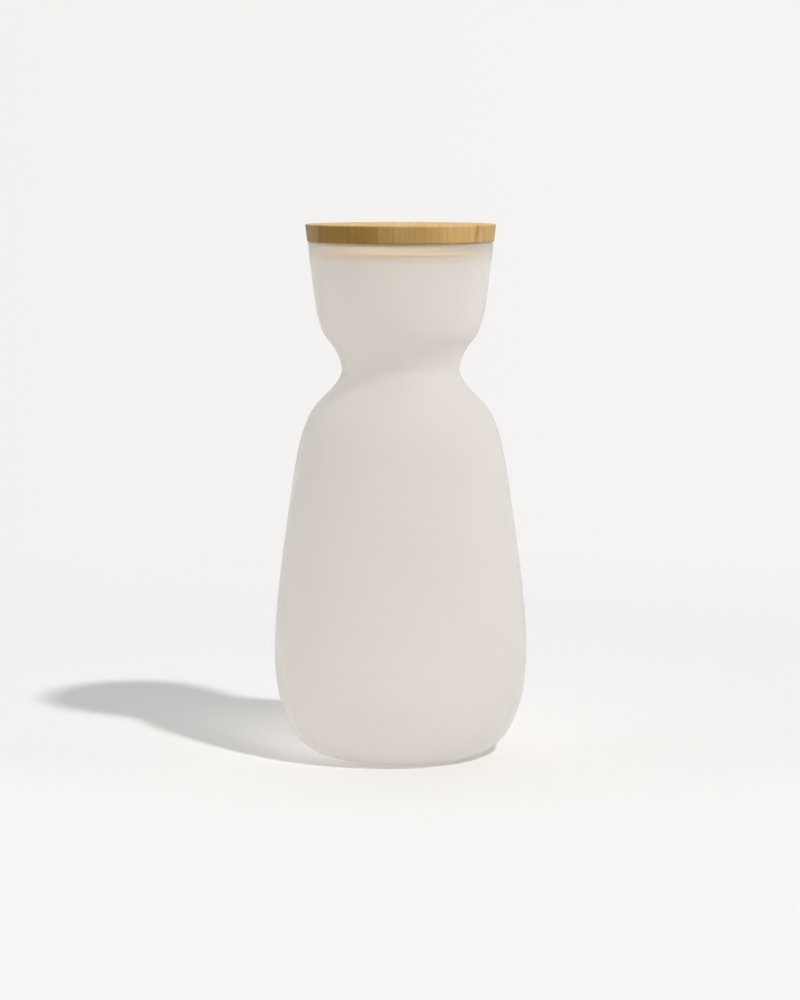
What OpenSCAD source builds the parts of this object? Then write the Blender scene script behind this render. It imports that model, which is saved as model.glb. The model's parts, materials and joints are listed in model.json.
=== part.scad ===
// Frosted glass carafe with a bamboo lid.
// One blown glass body stands on a ring, swells to a low belly, narrows to a waist that the hand
// holds, and opens into a bowl shaped mouth. The lid is a turned board glued from bamboo strips:
// a cap that lies on the rim, and a plug whose silicone ring closes the mouth.
// The axis of the carafe is Z, the table is z = 0, and all sizes are millimetres.

/* [Glass body] */
// Height of the glass, from the table to the rim
glass_h = 241.6; // [225:0.1:260]
// Widest outside diameter, at the belly
belly_d = 120; // [104:1:136]
// Height of the belly above the table
belly_h = 47.5; // [38:0.5:58]
// Narrowest outside diameter, at the waist
waist_d = 55.4; // [48:0.2:64]
// Height of the waist above the table
waist_h = 181.8; // [170:0.2:192]
// Outside diameter at the rim
rim_d = 87; // [78:1:96]
// Outside diameter of the flat ring that stands on the table
foot_d = 73; // [64:1:84]
// Thickness of the blown wall
wall_t = 2.2; // [1.8:0.1:3]
// Thickness of the glass in the base
base_t = 4.5; // [3:0.1:7]
// Radius of the melted edges of the rim
rim_round = 0.8; // [0.4:0.1:0.85]

/* [Hollow under the base] */
// Diameter of the shallow hollow inside the foot ring
punt_d = 60; // [40:1:62]
// Height of the hollow at its centre
punt_h = 1.2; // [0.6:0.1:3]

/* [Lid] */
// Thickness of the cap that lies on the rim
cap_h = 8.4; // [6:0.1:14]
// How far the foot of the cap stands out past the rim
cap_overhang = 0.3; // [0.2:0.1:3]
// Depth of the plug below the rim
plug_h = 7; // [6:0.1:12]
// Running gap between the end of the plug and the glass
plug_gap = 3; // [1.6:0.1:5]
// Number of bamboo strips glued side by side
strip_count = 13; // [9:2:17]
// Wood left between the side of the plug and the outermost glue lines, which run past it
plug_margin = 0.6; // [0.4:0.1:2]
// Width of the small bevels on the edges of the cap
cap_bevel = 0.5; // [0.2:0.1:1]
// Width of the bevel on the end of the plug
plug_bevel = 0.6; // [0.2:0.1:1]

/* [Seal] */
// Height of the groove round the plug
groove_h = 4; // [3:0.1:4.6]
// Depth of the groove into the plug
groove_depth = 1.5; // [0.8:0.1:3]
// Thickness of each lip of the ring at its root
lip_t = 0.9; // [0.5:0.1:1.2]
// Thickness of each lip at its tip
lip_tip_t = 0.5; // [0.3:0.1:0.8]
// How much higher the tip of a lip lies than its root
lip_rise = 0.7; // [0:0.1:1]
// Clearance of the ring in its groove
groove_clearance = 0.1; // [0.05:0.05:0.2]
// Clearance between the lips and the glass
lip_clearance = 0.2; // [0.1:0.05:0.4]

/* [Hidden] */
// Straight pieces that stand for each curve of the outline
curve_steps = 8;
// Straight pieces of each melted edge of the rim
edge_steps = 3;
// Straight pieces from the centre to the edge of the hollow under the base
punt_steps = 5;
$fn = 96;

// How far every cutting slab runs past the wood
overrun = 5;

// Places of the shoulder and the neck between belly and waist:
// shares of the rise from belly to waist, and of the step in radius from waist to belly
shoulder_shares = [0.74, 0.58];
neck_shares = [0.40, 0.87];
// Places of the flare and the bowl between waist and rim:
// shares of the step in radius from waist to rim, and of the rise from waist to rim
flare_shares = [0.40, 0.23];
bowl_shares = [0.84, 0.63];
// Lean of the outline from upright, in degrees, inward at shoulder and neck, outward at the flare
shoulder_lean = 8.3;
neck_lean = 37;
flare_lean = 43;
// How far a curve follows its end directions, as shares of the distance between its ends
foot_share = 0.22;
under_belly_share = 0.6;
curve_share = 0.28;

// Radii that the outline is built from
belly_r = belly_d / 2;
waist_r = waist_d / 2;
rim_r = rim_d / 2;
foot_r = foot_d / 2;
punt_r = punt_d / 2;

// A place of the outline between two radii and two heights
function between(inner_r, outer_r, low_h, high_h, shares) = [
    inner_r + (outer_r - inner_r) * shares.x,
    low_h + (high_h - low_h) * shares.y
];

// The wall runs straight from the bowl to the rim, and the lid carries that line on
bowl_place = between(waist_r, rim_r, waist_h, glass_h, bowl_shares);
rim_lean = atan2(rim_r - bowl_place.x, glass_h - bowl_place.y);
rim_run = [sin(rim_lean), cos(rim_lean)];
// Where the outside of the wall ends and the melted edge starts
rim_drop = rim_round * (1 + sin(rim_lean));
rim_place = [rim_r, glass_h] - rim_run * rim_drop / rim_run.y;

// Knots of the outside, from the foot to the rim:
// place, direction in degrees from level, and the shares followed into and out of the knot
knots = [
    [[foot_r, 0], 0, foot_share, foot_share],
    [[belly_r, belly_h], 90, under_belly_share, curve_share],
    [between(waist_r, belly_r, belly_h, waist_h, shoulder_shares), 90 + shoulder_lean, curve_share, curve_share],
    [between(waist_r, belly_r, belly_h, waist_h, neck_shares), 90 + neck_lean, curve_share, curve_share],
    [[waist_r, waist_h], 90, curve_share, curve_share],
    [between(waist_r, rim_r, waist_h, glass_h, flare_shares), 90 - flare_lean, curve_share, curve_share],
    [bowl_place, 90 - rim_lean, curve_share, curve_share],
    [rim_place, 90 - rim_lean, curve_share, curve_share]
];
curve_count = len(knots) - 1;

function direction(angle) = [cos(angle), sin(angle)];

// The four control points of the curve from one knot to the next
function controls(from, to) =
    let (reach = norm(to[0] - from[0]))
    [
        from[0],
        from[0] + direction(from[1]) * reach * from[3],
        to[0] - direction(to[1]) * reach * to[2],
        to[0]
    ];

function curve_place(c, t) =
    pow(1 - t, 3) * c[0] + 3 * t * pow(1 - t, 2) * c[1] + 3 * t * t * (1 - t) * c[2] + pow(t, 3) * c[3];

function curve_run(c, t) =
    pow(1 - t, 2) * (c[1] - c[0]) + 2 * t * (1 - t) * (c[2] - c[1]) + t * t * (c[3] - c[2]);

// The direction across the wall, from the outside to the inside
function inward(run) = [-run.y, run.x] / norm(run);

// The base thins into the wall on the way up to the belly
function wall_at(curve, t) = curve > 0 ? wall_t : wall_t + (base_t - wall_t) * (1 + cos(180 * t)) / 2;

// Stations along the outside, each with its place and its way through the glass
stations = [
    for (curve = [0 : curve_count - 1])
        let (c = controls(knots[curve], knots[curve + 1]))
            for (step = [0 : curve_steps - (curve < curve_count - 1 ? 1 : 0)])
                let (t = step / curve_steps)
                    [curve_place(c, t), inward(curve_run(c, t)) * wall_at(curve, t)]
];

// Both melted edges of the rim end level with the rim, and a narrow flat land lies between them
edge_centre_h = glass_h - rim_round;
rim_across = inward(rim_run);
outer_edge_centre = rim_place + rim_across * rim_round;
land_w = (wall_t - 2 * rim_round) / cos(rim_lean);
inner_edge_centre = [outer_edge_centre.x - land_w, edge_centre_h];
function edge(centre, first_angle, last_angle) = [
    for (step = [0 : edge_steps])
        centre + rim_round * direction(first_angle + (last_angle - first_angle) * step / edge_steps)
];

// The hollow under the base, and the floor inside that follows it
function punt_rise(share) = punt_h * (1 - share * share);
function punt_line(lift) = [
    for (step = [0 : punt_steps])
        let (share = step / punt_steps)
            [punt_r * share, punt_rise(share) + lift]
];

function reversed(list) = [for (i = [len(list) - 1 : -1 : 0]) list[i]];

outside = [for (i = [0 : len(stations) - 2]) stations[i][0]];
inside = [for (i = [0 : len(stations) - 2]) stations[i][0] + stations[i][1]];
glass_outline = concat(
    punt_line(0),
    outside,
    edge(outer_edge_centre, -rim_lean, 90),
    edge(inner_edge_centre, 90, 180 - rim_lean),
    reversed(inside),
    reversed(punt_line(base_t))
);

// Radius of the straight inside of the mouth, at a depth below the rim
function mouth_r(depth) = rim_r - wall_t / cos(rim_lean) - depth * tan(rim_lean);

// The lid, measured up and down from the rim
cap_low_r = rim_r + cap_overhang;
cap_top_r = cap_low_r + cap_h * tan(rim_lean);
plug_r = mouth_r(plug_h) - plug_gap;
groove_r = plug_r - groove_depth;
groove_low = (plug_h + groove_h) / 2;
groove_high = (plug_h - groove_h) / 2;
cap_side = [tan(rim_lean), 1] * cap_bevel;

// The plug lies within the inner strips, and the two outermost strips carry the rest of the cap
strip_w = 2 * (plug_r + plug_margin) / (strip_count - 2);
// Place across the lid of the glue line to the right of a strip
function glue_line(number) = (number - strip_count / 2) * strip_w;

lid_outline = [
    [0, -plug_h],
    [plug_r - plug_bevel, -plug_h],
    [plug_r, plug_bevel - plug_h],
    [plug_r, -groove_low],
    [groove_r, -groove_low],
    [groove_r, -groove_high],
    [plug_r, -groove_high],
    [plug_r, 0],
    [cap_low_r - cap_bevel, 0],
    [cap_low_r, 0] + cap_side,
    [cap_top_r, cap_h] - cap_side,
    [cap_top_r - cap_bevel, cap_h],
    [0, cap_h]
];

// The ring: a sleeve in the groove, and two lips that reach up and out to the glass
sleeve_r = groove_r + groove_clearance;
sleeve_low = groove_low - groove_clearance;
sleeve_high = groove_high + groove_clearance;
function lip(root_low, rise) =
    let (tip_low = root_low - rise, tip_high = tip_low - lip_tip_t)
    [
        [plug_r, -root_low],
        [mouth_r(tip_low) - lip_clearance, -tip_low],
        [mouth_r(tip_low) - lip_clearance, -tip_high],
        [plug_r, lip_t - root_low]
    ];
seal_outline = concat(
    [[sleeve_r, -sleeve_low]],
    lip(sleeve_low, lip_rise),
    lip(sleeve_high + lip_t, lip_rise),
    [[sleeve_r, -sleeve_high]]
);

function two_digits(number) = str(number < 10 ? "0" : "", number);
function strip_name(number) = str("lid_strip_", two_digits(number));

// Blown body with a milky frosted surface
module glass_body() {
    color([0.86, 0.84, 0.81])
        rotate_extrude()
            polygon(glass_outline);
}

// The whole lid as it comes off the lathe
module turned_lid() {
    translate([0, 0, glass_h])
        rotate_extrude()
            polygon(lid_outline);
}

// The space of one strip of the board, which runs from front to back
module strip_space(number) {
    reach = cap_top_r + overrun;
    left = number == 1 ? -reach : glue_line(number - 1);
    right = number == strip_count ? reach : glue_line(number);
    translate([left, -reach, glass_h - plug_h - overrun])
        cube([right - left, 2 * reach, plug_h + cap_h + 2 * overrun]);
}

// One strip of bamboo, glued face to face to its neighbours
module lid_strip(number) {
    shade = 0.62 + 0.1 * cos(number * 140);
    color([shade, shade * 0.8, shade * 0.53])
        intersection() {
            turned_lid();
            strip_space(number);
        }
}

// Translucent silicone ring in the groove of the plug
module seal_ring() {
    color([0.92, 0.92, 0.9])
        translate([0, 0, glass_h])
            rotate_extrude()
                polygon(seal_outline);
}

glass_body();
for (i = [1 : strip_count]) {
    lid_strip(i);
}
seal_ring();
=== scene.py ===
"""Looks of the frosted glass carafe with its bamboo lid.

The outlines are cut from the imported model, made smooth and turned again with fine steps, so every
piece keeps its CAD place and size. Lengths are in metres, and the axis of the carafe is Z."""

import json
import math

import bmesh
import bpy
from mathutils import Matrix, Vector


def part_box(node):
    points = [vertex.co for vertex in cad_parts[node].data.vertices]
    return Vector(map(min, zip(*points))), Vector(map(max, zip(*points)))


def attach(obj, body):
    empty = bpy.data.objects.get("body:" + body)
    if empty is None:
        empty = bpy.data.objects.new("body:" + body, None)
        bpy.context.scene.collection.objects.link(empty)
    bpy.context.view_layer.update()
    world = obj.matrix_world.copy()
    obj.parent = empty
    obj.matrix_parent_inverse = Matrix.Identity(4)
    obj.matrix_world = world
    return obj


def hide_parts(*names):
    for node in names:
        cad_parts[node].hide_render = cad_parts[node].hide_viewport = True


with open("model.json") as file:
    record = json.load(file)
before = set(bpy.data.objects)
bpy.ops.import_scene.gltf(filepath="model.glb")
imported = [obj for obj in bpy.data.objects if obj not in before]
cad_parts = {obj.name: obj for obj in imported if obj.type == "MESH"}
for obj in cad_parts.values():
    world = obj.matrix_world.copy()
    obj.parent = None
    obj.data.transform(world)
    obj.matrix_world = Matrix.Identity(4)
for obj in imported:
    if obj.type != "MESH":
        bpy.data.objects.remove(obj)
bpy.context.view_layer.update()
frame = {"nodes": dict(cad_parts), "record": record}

MM = 0.001
SAME = 0.002 * MM
TURN_STEPS = 192
SMOOTH_STEPS = 3
SHARP_ANGLE = math.radians(35)
LID_EASE = 0.14 * MM
RING_EASE = 0.15 * MM
STRIPS = sorted(name for name in frame["nodes"] if name.startswith("lid_strip_"))
MIDDLE_STRIP = STRIPS[len(STRIPS) // 2]

RIM_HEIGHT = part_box("glass_body")[1].z
FOOT_HEIGHT = 30 * MM
SHOULDER_HEIGHT = 147 * MM
BOWL_HEIGHT = 220 * MM
RIM_BAND = 10 * MM
BELLY_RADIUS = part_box("glass_body")[1].x
STRIP_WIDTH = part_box(MIDDLE_STRIP)[1].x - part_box(MIDDLE_STRIP)[0].x
SEAM_SHARE = 0.035
NODE_RANGE = 110 * MM
NODE_WIDTH = 1.3 * MM
SEAM_COLOUR = (0.16, 0.075, 0.02, 1)
LONG_PALE = (0.541, 0.352, 0.130, 1)
LONG_DARK = (0.370, 0.213, 0.058, 1)
# Plug colour, far paler than the cap's wood: painted light for the plug in the shade behind the glass.
PLUG_COLOUR = (0.92, 0.72, 0.38, 1)
NODE_WAVE = 0.8 * MM
# Three bamboo tones. model.json gives the deeper ones to the strips at the left of the lid and the paler ones
# to those at the right: partly the wood's own tone, partly painted shade of the key lamp from the right.
BAMBOO_TONES_AND_SHADE = {
    "bamboo_pale": ((0.58, 0.386, 0.156, 1), (0.40, 0.243, 0.076, 1)),
    "bamboo_mid": ((0.523, 0.336, 0.119, 1), (0.325, 0.190, 0.052, 1)),
    "bamboo_deep": ((0.462, 0.272, 0.070, 1), (0.268, 0.146, 0.029, 1))}
# Glass colours; the paler one is also painted light at the foot and round the bowl.
GLASS_DEEP = (0.902, 0.872, 0.845, 1)
GLASS_PALE = (0.970, 0.949, 0.928, 1)
GRAIN_DEPTH = 0.012 * MM
RIPPLE_DEPTH = 0.25 * MM
SILICONE_DEEP = (0.94, 0.77, 0.47, 1)
SILICONE_PALE = (0.96, 0.82, 0.53, 1)

# Camera, fitted to the outline of the photographed carafe
CAMERA_PLACE = (-0.0003, -1.290, 0.2775)
CAMERA_PITCH = math.radians(6.976)
CAMERA_LENS = 98.64
SENSOR = 36

# Light: a key lamp from the right and the front, and soft fill lamps, in a room that is pale behind
# the carafe and darker on the camera's side. Frosted glass lets part of the key through to what is
# behind it, and the room scatters a part of the key into every shadow on the floor. Each lamp
# is linked to the pieces that build_light gives it, and lights nothing else.
KEY_DIRECTION = Vector((-0.569, 0.512, -1.0))
FROM_LEFT = Vector((1, 0.6, 0.1))
FROM_RIGHT = Vector((-1, 0.15, 0))
FROM_FRONT = Vector((0.3, 1, 0.2))
KEY_ON_FLOOR = 1.95
KEY_SCATTERED = 0.10
KEY_ON_CARAFE = 1.05
KEY_PASSED_BY_GLASS = 0.45
KEY_ON_LID = 2.6
FILL_ON_LEFT = 0.34
FILL_ON_RIGHT = 0.36
RING_FILL = 3.9
KEY_SIZE = math.radians(3.4)
FILL_SIZE = math.radians(120)
GLOW = 0.009
GLOW_PLACE = (-0.028, -0.006, 0.028)
GLOW_RADIUS = 10 * MM
ROOM_FRONT = (0.22, 0.22, 0.22, 1)
ROOM_BACK = (1.00, 1.00, 1.00, 1)
BACKDROP_LEFT = (0.893, 0.877, 0.860, 1)
BACKDROP_RIGHT = (0.922, 0.905, 0.888, 1)
# Floor colours near the camera and at the back; the darker back is painted shade.
FLOOR_NEAR = (0.866, 0.852, 0.837, 1)
FLOOR_FAR = (0.804, 0.794, 0.780, 1)
FLOOR_RADIUS = 0.7
FLOOR_SEGMENTS = 96
FLOOR_FADE = 0.4
FLOOR_THROUGH_GLASS = 0.95


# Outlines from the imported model

def cut_outline(name, outward):
    """Outline of a turned CAD node as (radius, height) points, walked along a cut through its axis.
    Also says whether the outline is closed."""
    mesh = bmesh.new()
    mesh.from_mesh(frame["nodes"][name].data)
    bmesh.ops.remove_doubles(mesh, verts=mesh.verts, dist=SAME)
    everything = mesh.verts[:] + mesh.edges[:] + mesh.faces[:]
    bmesh.ops.bisect_plane(mesh, geom=everything, dist=SAME, plane_co=(0, 0, 0),
                           plane_no=outward.yxz, clear_inner=True, clear_outer=True)
    side = {v for v in mesh.verts if v.co.dot(outward) > -SAME}
    near = {v: [e.other_vert(v) for e in v.link_edges if e.other_vert(v) in side] for v in side}
    ends = [v for v in side if len(near[v]) == 1]
    here = min(ends or side, key=lambda v: (round(v.co.z, 6), v.co.dot(outward)))
    walk = []
    while here:
        walk.append(here)
        here = next((v for v in near[here] if v not in walk), None)
    points = [Vector((v.co.dot(outward), v.co.z)) for v in walk]
    mesh.free()
    if ends:
        points = [Vector((0, points[0].y))] + [p for p in points if p.x > SAME] + [Vector((0, points[-1].y))]
    return drop_straight(points, not ends), not ends


def neighbours(points, closed):
    """Each point with the one before and the one after it. The ends of an open outline are left out."""
    last = len(points) - 1
    return [(points[i - 1], points[i], points[(i + 1) % len(points)])
            for i in range(len(points)) if closed or 0 < i < last]


def drop_straight(points, closed):
    """Leaves out the points that lie on the line between their neighbours."""
    kept = [here for before, here, after in neighbours(points, closed)
            if abs((after - before).cross(here - before)) > SAME * (after - before).length]
    return kept if closed else [points[0]] + kept + [points[-1]]


def flowing(points):
    """A smooth curve through the points of an open outline that starts and ends on the axis."""
    mirror = Vector((-1, 1))
    padded = [points[1] * mirror] + points + [points[-2] * mirror]
    low = min(p.y for p in points)
    high = max(p.y for p in points)
    curve = []
    for a, b, c, d in zip(padded, padded[1:], padded[2:], padded[3:]):
        ta, tb, tc = [max((q - p).length, SAME) ** 0.5 for p, q in ((a, b), (b, c), (c, d))]
        leave = ((b - a) / ta - (c - a) / (ta + tb) + (c - b) / tb) * tb
        arrive = ((c - b) / tb - (d - b) / (tb + tc) + (d - c) / tc) * tb
        for step in range(SMOOTH_STEPS):
            t = step / SMOOTH_STEPS
            place = (b * (2 * t ** 3 - 3 * t ** 2 + 1) + leave * (t ** 3 - 2 * t ** 2 + t)
                     + c * (3 * t ** 2 - 2 * t ** 3) + arrive * (t ** 3 - t ** 2))
            curve.append(Vector((max(place.x, 0), min(max(place.y, low), high))))
    return curve + [points[-1]]


def eased(points, closed, size, passes=3):
    """Rounds the corners of an outline, starting at most this far from each corner."""
    for _ in range(passes):
        rounded = []
        for before, here, after in neighbours(points, closed):
            back = before - here
            on = after - here
            rounded.append(here + back * min(size / back.length, 0.3))
            rounded.append(here + on * min(size / on.length, 0.3))
        points = rounded if closed else [points[0]] + rounded + [points[-1]]
        size = size * 0.3
    return points


def turn(points, closed):
    """Turns an outline about the axis into a closed mesh."""
    mesh = bmesh.new()
    rings = []
    for p in points:
        if p.x < SAME:
            rings.append([mesh.verts.new((0, 0, p.y))] * TURN_STEPS)
        else:
            angles = [2 * math.pi * step / TURN_STEPS for step in range(TURN_STEPS)]
            rings.append([mesh.verts.new((p.x * math.cos(a), p.x * math.sin(a), p.y)) for a in angles])
    for ring, following in zip(rings, rings[1:] + (rings[:1] if closed else [])):
        for i in range(TURN_STEPS):
            corners = [ring[i - 1], ring[i], following[i], following[i - 1]]
            mesh.faces.new(dict.fromkeys(corners))
    bmesh.ops.recalc_face_normals(mesh, faces=mesh.faces)
    return mesh


def slice_off(mesh, place, direction):
    """Cuts away what lies past a plane across X and closes the cut."""
    everything = mesh.verts[:] + mesh.edges[:] + mesh.faces[:]
    cut = bmesh.ops.bisect_plane(mesh, geom=everything, dist=SAME, plane_co=(place, 0, 0),
                                 plane_no=(direction, 0, 0), clear_outer=True)
    edges = [g for g in cut["geom_cut"] if isinstance(g, bmesh.types.BMEdge)]
    bmesh.ops.edgenet_fill(mesh, edges=edges)


def make_piece(name, mesh, body, node, material):
    """Turns a finished mesh into a piece that stands for a CAD node and rides with its body."""
    data = bpy.data.meshes.new(name)
    bmesh.ops.recalc_face_normals(mesh, faces=mesh.faces)
    mesh.to_mesh(data)
    mesh.free()
    data.shade_smooth()
    data.set_sharp_from_angle(angle=SHARP_ANGLE)
    data.materials.append(material)
    piece = bpy.data.objects.new(name, data)
    bpy.context.scene.collection.objects.link(piece)
    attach(piece, body)
    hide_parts(node)
    return piece


# Materials

def new_material(name):
    material = bpy.data.materials.new(name)
    material.use_nodes = True
    tree = material.node_tree
    return material, tree, tree.nodes["Principled BSDF"]


def add(tree, kind, inputs, **settings):
    """Adds a node. An input is a plain value, or the socket that feeds it."""
    made = tree.nodes.new(kind)
    for name, value in settings.items():
        setattr(made, name, value)
    connect(tree, made, inputs)
    return made


def connect(tree, made, inputs):
    for name, value in inputs.items():
        if isinstance(value, bpy.types.NodeSocket):
            tree.links.new(value, made.inputs[name])
        else:
            made.inputs[name].default_value = value


def noise(tree, place, scale, detail=2.0, roughness=0.5):
    """Noise with this many waves in a metre."""
    inputs = {"Vector": place, "Scale": scale, "Detail": detail, "Roughness": roughness}
    return add(tree, "ShaderNodeTexNoise", inputs).outputs["Fac"]


def spread(tree, value, low, high, from_low=0.3, from_high=0.7):
    """Maps the middle range of a noise to the range from low to high."""
    inputs = {"Value": value, "From Min": from_low, "From Max": from_high, "To Min": low, "To Max": high}
    return add(tree, "ShaderNodeMapRange", inputs).outputs["Result"]


def maths(tree, operation, first, second):
    return add(tree, "ShaderNodeMath", {0: first, 1: second}, operation=operation).outputs["Value"]


def stretched(tree, place, scale):
    return add(tree, "ShaderNodeMapping", {"Vector": place, "Scale": scale}).outputs["Vector"]


def total(tree, parts):
    """The sum of (value, weight) pairs."""
    weighed = [maths(tree, "MULTIPLY", value, weight) for value, weight in parts]
    result = weighed[0]
    for value in weighed[1:]:
        result = maths(tree, "ADD", result, value)
    return result


def mixed(tree, share, first, second):
    """Goes from the first colour to the second as the share goes from 0 to 1."""
    inputs = {"Factor": share, "A": first, "B": second}
    return add(tree, "ShaderNodeMix", inputs, data_type="RGBA").outputs[2]


def frosted_glass():
    """Milky glass with an etched grain and cloudy patches. Its colour is painted paler at the foot and round
    the bowl: painted light that lifts the shade under the lid and over the shadowed table. It is clearest at
    the thin rim, where the plug shows through."""
    material, tree, shader = new_material("frosted_glass")
    place = add(tree, "ShaderNodeTexCoord", {}).outputs["Object"]
    cloud = noise(tree, place, 28, 3)
    grain = noise(tree, place, 2600, 2)
    ripple = noise(tree, place, 22, 1)
    height = add(tree, "ShaderNodeSeparateXYZ", {"Vector": place}).outputs["Z"]
    # The paler foot and bowl are painted light; the cloud term is the glass's own milky patches.
    milk_and_painted_light = total(tree, [(spread(tree, height, 0, 1, SHOULDER_HEIGHT, BOWL_HEIGHT), 0.5),
                        (spread(tree, height, 1, 0, 0, FOOT_HEIGHT), 0.45), (spread(tree, cloud, 0, 1), 0.2)])
    colour = mixed(tree, milk_and_painted_light, GLASS_DEEP, GLASS_PALE)
    bumps = maths(tree, "ADD", maths(tree, "MULTIPLY", grain, GRAIN_DEPTH),
                  maths(tree, "MULTIPLY", ripple, RIPPLE_DEPTH))
    bump = add(tree, "ShaderNodeBump", {"Height": bumps, "Distance": 1.0, "Strength": 1.0})
    clearness = spread(tree, height, 0.6, 0.78, RIM_HEIGHT - RIM_BAND, RIM_HEIGHT - 0.8 * RIM_BAND)
    connect(tree, shader, {
        "Base Color": colour,
        "Roughness": spread(tree, grain, 0.5, 0.6),
        "Transmission Weight": clearness,
        "IOR": 1.25,
        "Sheen Weight": 0.25,
        "Sheen Roughness": 0.4,
        "Normal": bump.outputs["Normal"]})
    return material


def bamboo(name, pale, dark):
    """Strips of bamboo with their fibres along Y: end grain in dots and streaks on the front and the
    back of the lid, and long fibres with a node here and there on its top."""
    material, tree, shader = new_material(name)
    place = add(tree, "ShaderNodeTexCoord", {}).outputs["Object"]
    axes = add(tree, "ShaderNodeSeparateXYZ", {"Vector": place}).outputs
    steps = maths(tree, "ADD", maths(tree, "DIVIDE", axes["X"], STRIP_WIDTH), len(STRIPS) / 2)
    number = maths(tree, "FLOOR", steps, 0)
    across = maths(tree, "FRACT", steps, 0)
    chance = add(tree, "ShaderNodeTexWhiteNoise", {"W": number}, noise_dimensions="1D").outputs
    moved = add(
        tree, "ShaderNodeVectorMath", {0: chance["Color"], 1: place}, operation="ADD").outputs["Vector"]
    streaks = noise(tree, stretched(tree, moved, (1, 0.012, 0.05)), 900, 3, 0.7)
    bands = noise(tree, stretched(tree, moved, (1, 0.012, 0.2)), 260, 2)
    fibres = noise(tree, stretched(tree, moved, (1, 0.012, 0.6)), 2800, 2)
    dots = add(tree, "ShaderNodeTexVoronoi", {
        "Vector": stretched(tree, moved, (1, 0.008, 1)), "Scale": 1500, "Randomness": 0.9})
    bundles = spread(tree, dots.outputs["Distance"], 1, 0, 0.12, 0.32)
    skin = spread(tree, across, 0, 1, 0.05, 0.95)
    tone = total(tree, [(spread(tree, streaks, 0, 1), 0.5), (spread(tree, bands, 0, 1), 0.3), (skin, 0.12),
                        (chance["Value"], 0.12), (bundles, -0.25)])
    node_place = spread(tree, chance["Value"], -NODE_RANGE, NODE_RANGE, 0, 1)
    from_node = maths(tree, "SUBTRACT", axes["Y"], node_place)
    wavy = maths(tree, "ADD", from_node, maths(tree, "MULTIPLY", spread(tree, streaks, -1, 1), NODE_WAVE))
    node = spread(tree, maths(tree, "ABSOLUTE", wavy, 0), 0.45, 0, 0, NODE_WIDTH)
    edge = maths(tree, "ABSOLUTE", maths(tree, "SUBTRACT", across, 0.5), 0)
    seam = maths(tree, "MULTIPLY", spread(tree, edge, 0, 1, 0.5 - SEAM_SHARE, 0.5),
                 spread(tree, chance["Value"], 0.12, 0.42, 0, 1))
    facing = add(tree, "ShaderNodeSeparateXYZ", {"Vector": add(
        tree, "ShaderNodeTexCoord", {}).outputs["Normal"]}).outputs
    on_top = spread(tree, facing["Z"], 0, 1, 0.3, 0.8)
    on_side = spread(tree, maths(tree, "ABSOLUTE", facing["X"], 0), 0, 0.3, 0.7, 1)
    oiled = mixed(tree, on_top, mixed(tree, maths(tree, "SUBTRACT", tone, on_side), dark, pale),
                  mixed(tree, tone, LONG_DARK, LONG_PALE))
    marked = mixed(tree, maths(tree, "MAXIMUM", node, seam), oiled, SEAM_COLOUR)
    # Below the cap the wood takes the plug colour, painted light that lifts the shade behind the glass.
    plug_part = spread(tree, axes["Z"], 1, 0, RIM_HEIGHT - 0.2 * MM, RIM_HEIGHT)
    colour = mixed(tree, plug_part, marked, PLUG_COLOUR)
    relief = total(tree, [(fibres, 0.02 * MM), (streaks, 0.03 * MM), (seam, -0.05 * MM)])
    bump = add(tree, "ShaderNodeBump", {"Height": relief, "Distance": 1.0, "Strength": 1.0})
    connect(tree, shader, {
        "Base Color": colour,
        "Roughness": spread(tree, fibres, 0.4, 0.55),
        "Specular IOR Level": 0.18,
        "Normal": bump.outputs["Normal"]})
    return material


def silicone():
    material, tree, shader = new_material("silicone")
    place = add(tree, "ShaderNodeTexCoord", {}).outputs["Object"]
    haze = noise(tree, place, 900, 2)
    connect(tree, shader, {
        "Base Color": mixed(tree, spread(tree, haze, 0, 1), SILICONE_DEEP, SILICONE_PALE),
        "Roughness": spread(tree, haze, 0.35, 0.5),
        "Transmission Weight": 0.35,
        "IOR": 1.41})
    return material


# The pieces

def build_glass():
    points, _ = cut_outline("glass_body", Vector((1, 0, 0)))
    points = flowing(points)
    return make_piece("frosted_body", turn(points, False), "glass", "glass_body", frosted_glass())


def build_seal():
    points, closed = cut_outline("seal_ring", Vector((1, 0, 0)))
    return make_piece("silicone_ring", turn(eased(points, closed, RING_EASE), closed), "lid", "seal_ring",
                      silicone())


def build_lid():
    points, _ = cut_outline(MIDDLE_STRIP, Vector((0, 1, 0)))
    points = eased(points, False, LID_EASE)
    materials = {name: bamboo(name, pale, dark) for name, (pale, dark) in BAMBOO_TONES_AND_SHADE.items()}
    # Each strip's tone from model.json, deeper at the left and paler at the right, is partly painted shade.
    slots = {part["node"]: part["material_slot"] for part in frame["record"]["subparts"]}
    pieces = []
    for name in STRIPS:
        low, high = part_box(name)
        mesh = turn(points, False)
        if name != STRIPS[0]:
            slice_off(mesh, low.x, -1)
        if name != STRIPS[-1]:
            slice_off(mesh, high.x, 1)
        pieces.append(make_piece(name.replace("lid", "bamboo"), mesh, "lid", name, materials[slots[name]]))
    return pieces


# Floor, light and camera

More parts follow.
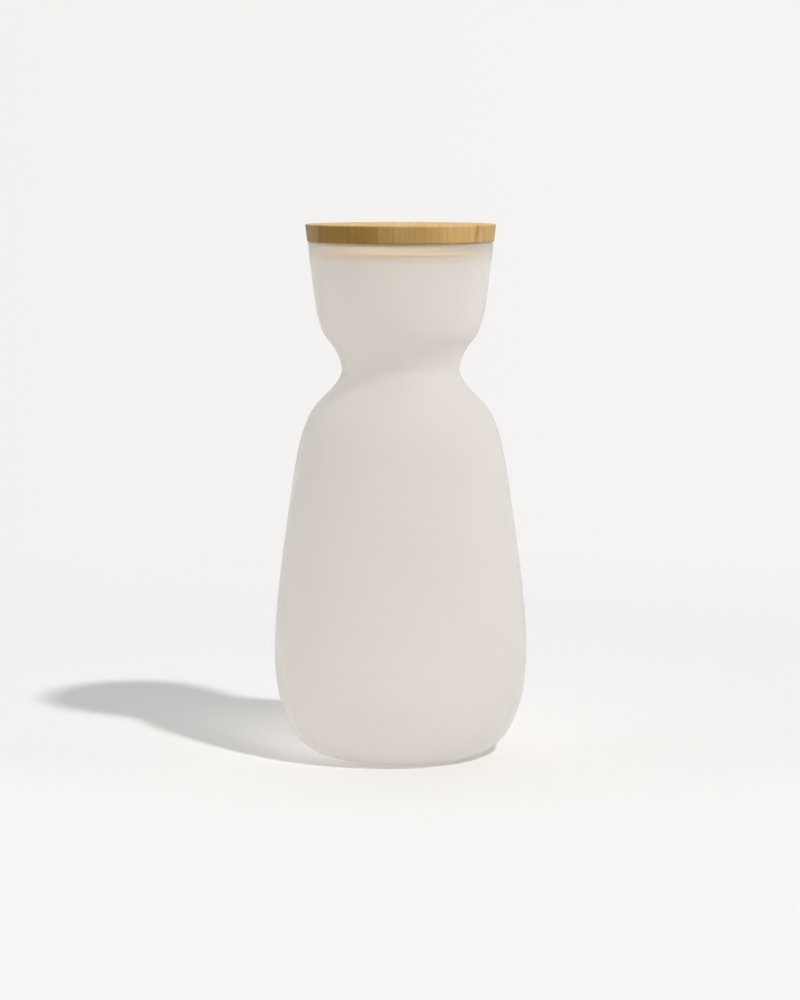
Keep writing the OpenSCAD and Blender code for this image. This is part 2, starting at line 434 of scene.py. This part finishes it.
def build_floor():
    """A disc that glass shows as pale as the backdrop. Its far part is clear to the camera, so its
    edge doesn't show, and is as pale as the backdrop for everything else."""
    mesh = bmesh.new()
    bmesh.ops.create_circle(mesh, cap_ends=True, segments=FLOOR_SEGMENTS, radius=FLOOR_RADIUS)
    data = bpy.data.meshes.new("floor")
    mesh.to_mesh(data)
    mesh.free()
    material, tree, shader = new_material("floor")
    place = add(tree, "ShaderNodeTexCoord", {}).outputs["Object"]
    axes = add(tree, "ShaderNodeSeparateXYZ", {"Vector": place}).outputs
    # Darker towards the back: painted shade of a floor that gets less light further away.
    back = spread(tree, axes["Y"], 0, 1, -2 * BELLY_RADIUS, 0)
    connect(tree, shader, {
        "Base Color": mixed(tree, back, FLOOR_NEAR, FLOOR_FAR), "Roughness": 1, "Specular IOR Level": 0})
    away = add(tree, "ShaderNodeVectorMath", {0: place}, operation="LENGTH").outputs["Value"]
    rays = add(tree, "ShaderNodeLightPath", {}).outputs
    backdrop = add(tree, "ShaderNodeEmission", {"Color": BACKDROP_RIGHT, "Strength": 1}).outputs["Emission"]
    clear = add(tree, "ShaderNodeBsdfTransparent", {}).outputs["BSDF"]
    near = add(tree, "ShaderNodeMixShader", {
        0: maths(tree, "MULTIPLY", rays["Is Transmission Ray"], FLOOR_THROUGH_GLASS),
        1: shader.outputs["BSDF"], 2: backdrop}).outputs["Shader"]
    far = add(tree, "ShaderNodeMixShader", {
        0: rays["Is Camera Ray"], 1: backdrop, 2: clear}).outputs["Shader"]
    faded = add(tree, "ShaderNodeMixShader", {
        0: spread(tree, away, 0, 1, FLOOR_FADE, FLOOR_RADIUS), 1: near, 2: far})
    connect(tree, tree.nodes["Material Output"], {"Surface": faded.outputs["Shader"]})
    # The floor's glow depends on the kind of ray, so it isn't sampled as a lamp.
    material.cycles.emission_sampling = "NONE"
    data.materials.append(material)
    floor = bpy.data.objects.new("floor", data)
    bpy.context.scene.collection.objects.link(floor)
    return floor


def build_world():
    """The room lights the pieces. The camera, gloss and glass see the pale backdrop instead."""
    world = bpy.data.worlds.new("room")
    bpy.context.scene.world = world
    world.use_nodes = True
    # What the room shows depends on the kind of ray, so it isn't sampled as a lamp.
    world.cycles.sampling_method = "NONE"
    tree = world.node_tree
    tree.nodes.clear()
    rays = add(tree, "ShaderNodeLightPath", {}).outputs
    seen = maths(tree, "MAXIMUM", rays["Is Camera Ray"],
                  maths(tree, "MAXIMUM", rays["Is Glossy Ray"], rays["Is Transmission Ray"]))
    way = add(tree, "ShaderNodeTexCoord", {}).outputs["Generated"]
    axes = add(tree, "ShaderNodeSeparateXYZ", {"Vector": way}).outputs
    room = mixed(tree, spread(tree, axes["Y"], 0, 1, -1, 1), ROOM_FRONT, ROOM_BACK)
    backdrop = mixed(tree, spread(tree, axes["X"], 0, 1, -0.2, 0.1), BACKDROP_LEFT, BACKDROP_RIGHT)
    light = add(tree, "ShaderNodeBackground", {"Color": mixed(tree, seen, room, backdrop), "Strength": 1})
    add(tree, "ShaderNodeOutputWorld", {"Surface": light.outputs["Background"]})


def linked(name, pieces, state):
    """A set of objects for a lamp: only these pieces, or everything but these pieces."""
    group = bpy.data.collections.new(name)
    for number, piece in enumerate(pieces):
        group.objects.link(piece)
        group.collection_objects[number].light_linking.link_state = state
    return group


def build_lamp(name, strength, size, direction, lights, shaded_by=None):
    """A lamp far away. It lights one set of objects. Another set, or everything, shades it."""
    lamp = bpy.data.lights.new(name, "SUN")
    lamp.energy = strength
    lamp.angle = size
    place = bpy.data.objects.new(name, lamp)
    place.rotation_euler = direction.to_track_quat("-Z", "Y").to_euler()
    bpy.context.scene.collection.objects.link(place)
    place.light_linking.receiver_collection = lights
    place.light_linking.blocker_collection = shaded_by


def build_glow(lights):
    """The light that the carafe gathers and throws on the table beside its foot."""
    lamp = bpy.data.lights.new("glow", "POINT")
    lamp.energy = GLOW
    lamp.shadow_soft_size = GLOW_RADIUS
    place = bpy.data.objects.new("glow", lamp)
    place.location = GLOW_PLACE
    place.visible_camera = False
    place.visible_transmission = False
    place.visible_glossy = False
    bpy.context.scene.collection.objects.link(place)
    place.light_linking.receiver_collection = lights
    place.light_linking.blocker_collection = lights


def build_light(glass, ring, strips, floor):
    only_floor = linked("only_floor", [floor], "INCLUDE")
    only_glass = linked("only_glass", [glass], "INCLUDE")
    only_ring = linked("only_ring", [ring], "INCLUDE")
    only_strips = linked("only_strips", strips, "INCLUDE")
    not_floor = linked("not_floor", [floor], "EXCLUDE")
    not_glass = linked("not_glass", [glass], "EXCLUDE")
    through = KEY_ON_CARAFE * KEY_PASSED_BY_GLASS
    scattered = KEY_ON_FLOOR * KEY_SCATTERED
    build_lamp("key_on_floor", KEY_ON_FLOOR - scattered, KEY_SIZE, KEY_DIRECTION, only_floor)
    build_lamp("key_scattered", scattered, KEY_SIZE, KEY_DIRECTION, only_floor, only_floor)
    build_lamp("key", KEY_ON_CARAFE - through, KEY_SIZE, KEY_DIRECTION, not_floor)
    build_lamp("key_through_glass", through, KEY_SIZE, KEY_DIRECTION, not_floor, not_glass)
    build_lamp("key_on_lid", KEY_ON_LID, KEY_SIZE, KEY_DIRECTION, only_strips, not_glass)
    build_lamp("fill_on_left", FILL_ON_LEFT, FILL_SIZE, FROM_LEFT, only_glass, only_floor)
    build_lamp("fill_on_right", FILL_ON_RIGHT, FILL_SIZE, FROM_RIGHT, only_glass, only_floor)
    build_lamp("ring_fill", RING_FILL, FILL_SIZE, FROM_FRONT, only_ring, only_floor)
    build_glow(only_floor)


def build_camera():
    data = bpy.data.cameras.new("camera")
    data.lens = CAMERA_LENS
    data.sensor_width = SENSOR
    camera = bpy.data.objects.new("camera", data)
    camera.location = CAMERA_PLACE
    camera.rotation_euler = (math.pi / 2 - CAMERA_PITCH, 0, 0)
    bpy.context.scene.collection.objects.link(camera)
    bpy.context.scene.camera = camera


build_camera()
build_world()
build_light(build_glass(), build_seal(), build_lid(), build_floor())
bpy.context.scene.view_settings.view_transform = "Standard"
# With the light tree, the linked lamps gave one of two pictures by chance. Without it each run is the same.
bpy.context.scene.cycles.use_light_tree = False
